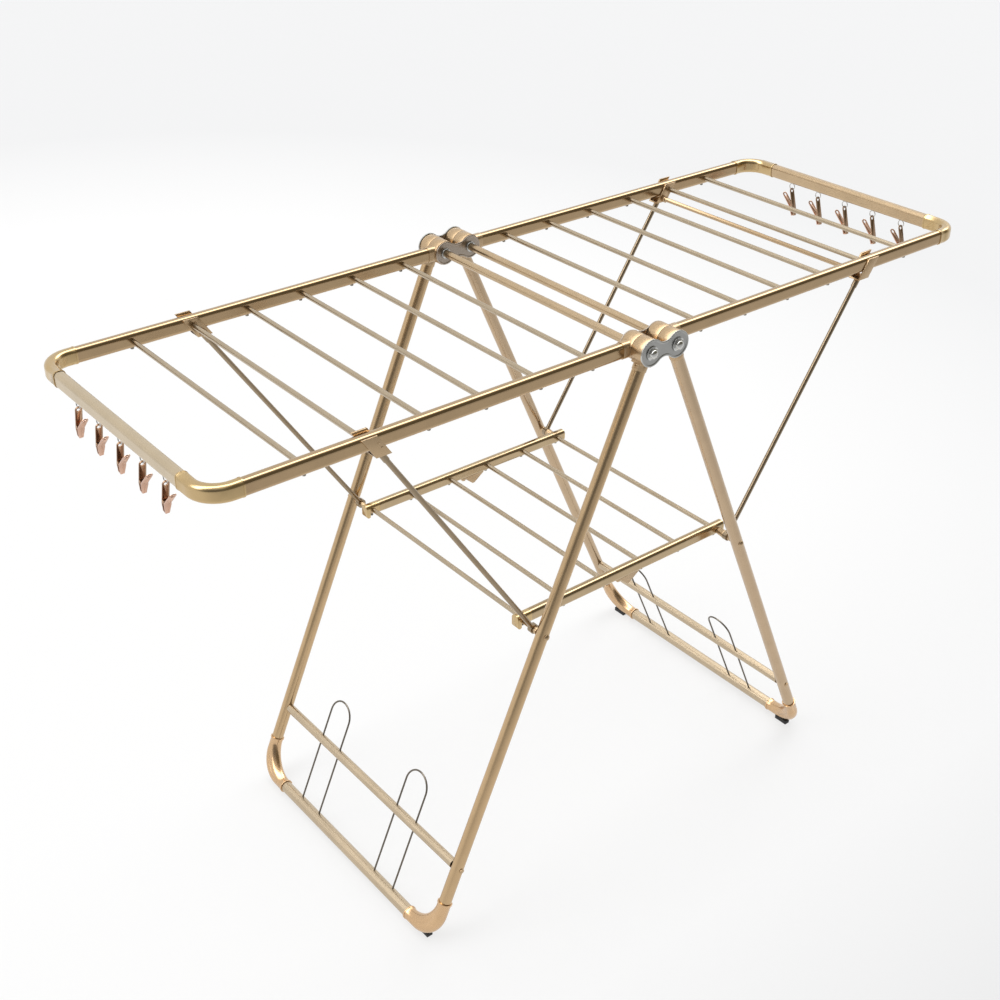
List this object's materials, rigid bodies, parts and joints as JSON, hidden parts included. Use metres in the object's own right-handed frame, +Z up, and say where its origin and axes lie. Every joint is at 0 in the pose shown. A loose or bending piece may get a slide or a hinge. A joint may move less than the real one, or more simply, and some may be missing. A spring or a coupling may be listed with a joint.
{
  "type": "clothes drying rack",
  "caption": "Folding clothes drying rack with two hinged wings of rods, a middle shelf, shoe hooks and hanging pegs.",
  "frame": {"origin": "on the floor, below the middle of the hinge block", "axes": "+X along the right wing, +Y to the rear, +Z up"},
  "size_m": [1.49, 0.5672, 0.9717],
  "materials": {
    "champagne_tube": "satin anodised, champagne gold",
    "champagne_casting": "satin anodised, slightly deeper gold",
    "drying_rod": "satin anodised, champagne gold",
    "hinge_plate_grey": "brushed",
    "hinge_plate_bronze": "satin, grey-brown",
    "bright_nut": "polished",
    "strut_wire": "satin, bronze tint",
    "dark_wire": "satin, dark",
    "black_rubber": "matt",
    "peg_rose_gold": "satin, rose gold"
  },
  "bodies": {
    "right_leg": {"right_leg_tubes": "champagne_tube", "right_leg_knuckles": "champagne_casting", "right_foot_bar": "champagne_tube", "right_foot_elbows": "champagne_casting", "right_foot_pads": "black_rubber", "right_shoe_rail": "champagne_tube", "right_shoe_hooks": "dark_wire", "right_leg_bolts": "bright_nut"},
    "hinge_block": {"hinge_plates_outer": "hinge_plate_grey", "hinge_plates_inner": "hinge_plate_bronze", "cross_rods": "drying_rod", "cap_nuts": "bright_nut"},
    "left_leg": {"left_leg_tubes": "champagne_tube", "left_leg_knuckles": "champagne_casting", "left_foot_bar": "champagne_tube", "left_foot_elbows": "champagne_casting", "left_foot_pads": "black_rubber", "left_shoe_rail": "champagne_tube", "left_shoe_hooks": "dark_wire", "left_leg_bolts": "bright_nut"},
    "shelf": {"shelf_rails": "champagne_tube", "shelf_rods": "drying_rod", "shelf_brackets": "champagne_casting", "shelf_ends": "champagne_casting"},
    "right_wing": {"right_wing_rails": "champagne_tube", "right_wing_knuckles": "champagne_casting", "right_wing_elbows": "champagne_casting", "right_end_bar": "champagne_tube", "right_wing_rods": "drying_rod", "right_strut_brackets": "champagne_casting", "right_peg_rings": "dark_wire"},
    "right_struts_body": {"right_struts": "strut_wire"},
    "left_wing": {"left_wing_rails": "champagne_tube", "left_wing_knuckles": "champagne_casting", "left_wing_elbows": "champagne_casting", "left_end_bar": "champagne_tube", "left_wing_rods": "drying_rod", "left_strut_brackets": "champagne_casting", "left_peg_rings": "dark_wire"},
    "left_struts_body": {"left_struts": "strut_wire"},
    "right_peg_1": {"right_peg_1_hanging_half": "peg_rose_gold"},
    "right_peg_1_jaw": {"right_peg_1_moving_half": "peg_rose_gold"},
    "right_peg_2": {"right_peg_2_hanging_half": "peg_rose_gold"},
    "right_peg_2_jaw": {"right_peg_2_moving_half": "peg_rose_gold"},
    "right_peg_3": {"right_peg_3_hanging_half": "peg_rose_gold"},
    "right_peg_3_jaw": {"right_peg_3_moving_half": "peg_rose_gold"},
    "right_peg_4": {"right_peg_4_hanging_half": "peg_rose_gold"},
    "right_peg_4_jaw": {"right_peg_4_moving_half": "peg_rose_gold"},
    "right_peg_5": {"right_peg_5_hanging_half": "peg_rose_gold"},
    "right_peg_5_jaw": {"right_peg_5_moving_half": "peg_rose_gold"},
    "left_peg_1": {"left_peg_1_hanging_half": "peg_rose_gold"},
    "left_peg_1_jaw": {"left_peg_1_moving_half": "peg_rose_gold"},
    "left_peg_2": {"left_peg_2_hanging_half": "peg_rose_gold"},
    "left_peg_2_jaw": {"left_peg_2_moving_half": "peg_rose_gold"},
    "left_peg_3": {"left_peg_3_hanging_half": "peg_rose_gold"},
    "left_peg_3_jaw": {"left_peg_3_moving_half": "peg_rose_gold"},
    "left_peg_4": {"left_peg_4_hanging_half": "peg_rose_gold"},
    "left_peg_4_jaw": {"left_peg_4_moving_half": "peg_rose_gold"},
    "left_peg_5": {"left_peg_5_hanging_half": "peg_rose_gold"},
    "left_peg_5_jaw": {"left_peg_5_moving_half": "peg_rose_gold"}
  },
  "joints": [
    {"name": "legs_close", "type": "hinge", "parent": "right_leg", "child": "hinge_block", "pos_m": [0.026, 0, 0.95], "axis": [0, -1, 0], "range_deg": [0, 23.9]},
    {"name": "left_leg_closes", "type": "hinge", "parent": "hinge_block", "child": "left_leg", "pos_m": [-0.026, 0, 0.95], "axis": [0, -1, 0], "range_deg": [0, 23.9]},
    {"name": "shelf_lifts", "type": "hinge", "parent": "right_leg", "child": "shelf", "pos_m": [0.2152, 0, 0.52304], "axis": [0, 1, 0], "range_deg": [0, 63.6]},
    {"name": "right_wing_fold", "type": "hinge", "parent": "right_leg", "child": "right_wing", "pos_m": [0.026, 0, 0.95], "axis": [0, 1, 0], "range_deg": [0, 60.5]},
    {"name": "right_strut_swing", "type": "hinge", "parent": "right_leg", "child": "right_struts_body", "pos_m": [0.2152, 0, 0.52304], "axis": [0, 1, 0], "range_deg": [0, 120.5]},
    {"name": "right_peg_1_swing", "type": "hinge", "parent": "right_wing", "child": "right_peg_1", "pos_m": [0.7354, 0.1315, 0.9248], "axis": [0, -1, 0], "range_deg": [-40, 40]},
    {"name": "right_peg_1_open", "type": "hinge", "parent": "right_peg_1", "child": "right_peg_1_jaw", "pos_m": [0.7354, 0.12596, 0.89388], "axis": [1, 0, 0], "range_deg": [0, 20], "stiffness_Nm_per_rad": 0.02, "springref_deg": -20.05},
    {"name": "right_peg_2_swing", "type": "hinge", "parent": "right_wing", "child": "right_peg_2", "pos_m": [0.7354, 0.0665, 0.9248], "axis": [0, -1, 0], "range_deg": [-40, 40]},
    {"name": "right_peg_2_open", "type": "hinge", "parent": "right_peg_2", "child": "right_peg_2_jaw", "pos_m": [0.7354, 0.06096, 0.89388], "axis": [1, 0, 0], "range_deg": [0, 20], "stiffness_Nm_per_rad": 0.02, "springref_deg": -20.05},
    {"name": "right_peg_3_swing", "type": "hinge", "parent": "right_wing", "child": "right_peg_3", "pos_m": [0.7354, 0.0015, 0.9248], "axis": [0, -1, 0], "range_deg": [-40, 40]},
    {"name": "right_peg_3_open", "type": "hinge", "parent": "right_peg_3", "child": "right_peg_3_jaw", "pos_m": [0.7354, -0.00404, 0.89388], "axis": [1, 0, 0], "range_deg": [0, 20], "stiffness_Nm_per_rad": 0.02, "springref_deg": -20.05},
    {"name": "right_peg_4_swing", "type": "hinge", "parent": "right_wing", "child": "right_peg_4", "pos_m": [0.7354, -0.0635, 0.9248], "axis": [0, -1, 0], "range_deg": [-40, 40]},
    {"name": "right_peg_4_open", "type": "hinge", "parent": "right_peg_4", "child": "right_peg_4_jaw", "pos_m": [0.7354, -0.06904, 0.89388], "axis": [1, 0, 0], "range_deg": [0, 20], "stiffness_Nm_per_rad": 0.02, "springref_deg": -20.05},
    {"name": "right_peg_5_swing", "type": "hinge", "parent": "right_wing", "child": "right_peg_5", "pos_m": [0.7354, -0.1285, 0.9248], "axis": [0, -1, 0], "range_deg": [-40, 40]},
    {"name": "right_peg_5_open", "type": "hinge", "parent": "right_peg_5", "child": "right_peg_5_jaw", "pos_m": [0.7354, -0.13404, 0.89388], "axis": [1, 0, 0], "range_deg": [0, 20], "stiffness_Nm_per_rad": 0.02, "springref_deg": -20.05},
    {"name": "left_wing_fold", "type": "hinge", "parent": "left_leg", "child": "left_wing", "pos_m": [-0.026, 0, 0.95], "axis": [0, -1, 0], "range_deg": [0, 60.5]},
    {"name": "left_strut_swing", "type": "hinge", "parent": "left_leg", "child": "left_struts_body", "pos_m": [-0.2152, 0, 0.52304], "axis": [0, -1, 0], "range_deg": [0, 120.5]},
    {"name": "left_peg_1_swing", "type": "hinge", "parent": "left_wing", "child": "left_peg_1", "pos_m": [-0.7354, 0.1285, 0.9248], "axis": [0, 1, 0], "range_deg": [-40, 40]},
    {"name": "left_peg_1_open", "type": "hinge", "parent": "left_peg_1", "child": "left_peg_1_jaw", "pos_m": [-0.7354, 0.13404, 0.89388], "axis": [-1, 0, 0], "range_deg": [0, 20], "stiffness_Nm_per_rad": 0.02, "springref_deg": -20.05},
    {"name": "left_peg_2_swing", "type": "hinge", "parent": "left_wing", "child": "left_peg_2", "pos_m": [-0.7354, 0.0635, 0.9248], "axis": [0, 1, 0], "range_deg": [-40, 40]},
    {"name": "left_peg_2_open", "type": "hinge", "parent": "left_peg_2", "child": "left_peg_2_jaw", "pos_m": [-0.7354, 0.06904, 0.89388], "axis": [-1, 0, 0], "range_deg": [0, 20], "stiffness_Nm_per_rad": 0.02, "springref_deg": -20.05},
    {"name": "left_peg_3_swing", "type": "hinge", "parent": "left_wing", "child": "left_peg_3", "pos_m": [-0.7354, -0.0015, 0.9248], "axis": [0, 1, 0], "range_deg": [-40, 40]},
    {"name": "left_peg_3_open", "type": "hinge", "parent": "left_peg_3", "child": "left_peg_3_jaw", "pos_m": [-0.7354, 0.00404, 0.89388], "axis": [-1, 0, 0], "range_deg": [0, 20], "stiffness_Nm_per_rad": 0.02, "springref_deg": -20.05},
    {"name": "left_peg_4_swing", "type": "hinge", "parent": "left_wing", "child": "left_peg_4", "pos_m": [-0.7354, -0.0665, 0.9248], "axis": [0, 1, 0], "range_deg": [-40, 40]},
    {"name": "left_peg_4_open", "type": "hinge", "parent": "left_peg_4", "child": "left_peg_4_jaw", "pos_m": [-0.7354, -0.06096, 0.89388], "axis": [-1, 0, 0], "range_deg": [0, 20], "stiffness_Nm_per_rad": 0.02, "springref_deg": -20.05},
    {"name": "left_peg_5_swing", "type": "hinge", "parent": "left_wing", "child": "left_peg_5", "pos_m": [-0.7354, -0.1315, 0.9248], "axis": [0, 1, 0], "range_deg": [-40, 40]},
    {"name": "left_peg_5_open", "type": "hinge", "parent": "left_peg_5", "child": "left_peg_5_jaw", "pos_m": [-0.7354, -0.12596, 0.89388], "axis": [-1, 0, 0], "range_deg": [0, 20], "stiffness_Nm_per_rad": 0.02, "springref_deg": -20.05}
  ],
  "couplings": [
    {"joint": "left_leg_closes", "follows": "legs_close", "ratio": 1},
    {"joint": "shelf_lifts", "follows": "legs_close", "ratio": 2.6611},
    {"joint": "right_strut_swing", "follows": "right_wing_fold", "ratio": 1.9917},
    {"joint": "left_strut_swing", "follows": "left_wing_fold", "ratio": 1.9917}
  ]
}
